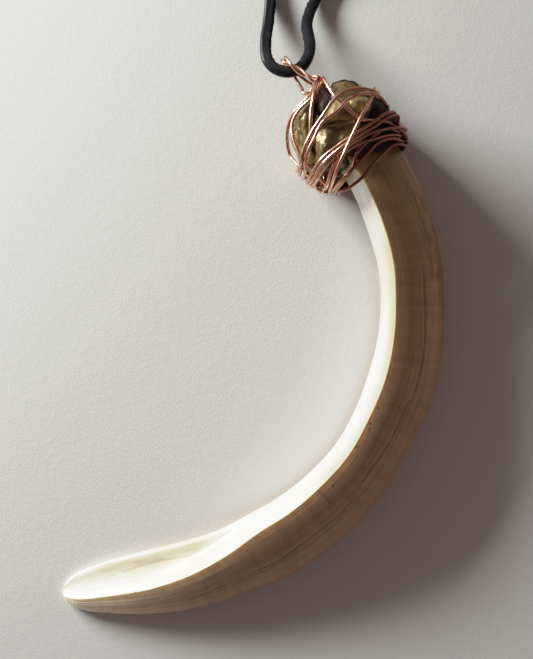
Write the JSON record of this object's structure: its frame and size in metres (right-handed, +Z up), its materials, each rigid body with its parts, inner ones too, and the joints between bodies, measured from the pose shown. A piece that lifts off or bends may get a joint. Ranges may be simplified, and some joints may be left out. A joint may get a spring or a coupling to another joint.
{
  "type": "boar tusk pendant",
  "caption": "Curved boar's tusk worn as a pendant, with a folded leather cap, a wrapped copper wire with a twisted bail, and a leather lace.",
  "frame": {"origin": "middle of the box round the tusk, cap and wire, on the surface that they lie on", "axes": "+Z up from the surface; +Y from the tusk's tip side towards the capped root and the bail; +X towards the outer side of the tusk's curve"},
  "size_m": [0.1138, 0.2362, 0.0269],
  "materials": {
    "tusk_ivory": "natural tooth, satin to glossy",
    "gold_leather": "metallic gold, worn",
    "copper": "bright bare copper",
    "black_leather": "matte to satin"
  },
  "bodies": {
    "root": {"tusk": "tusk_ivory", "leather_cap": "gold_leather", "copper_wire": "copper", "lace": "black_leather", "lace_coil": "black_leather", "lace_knot": "black_leather", "coil_tie": "black_leather"}
  },
  "joints": []
}
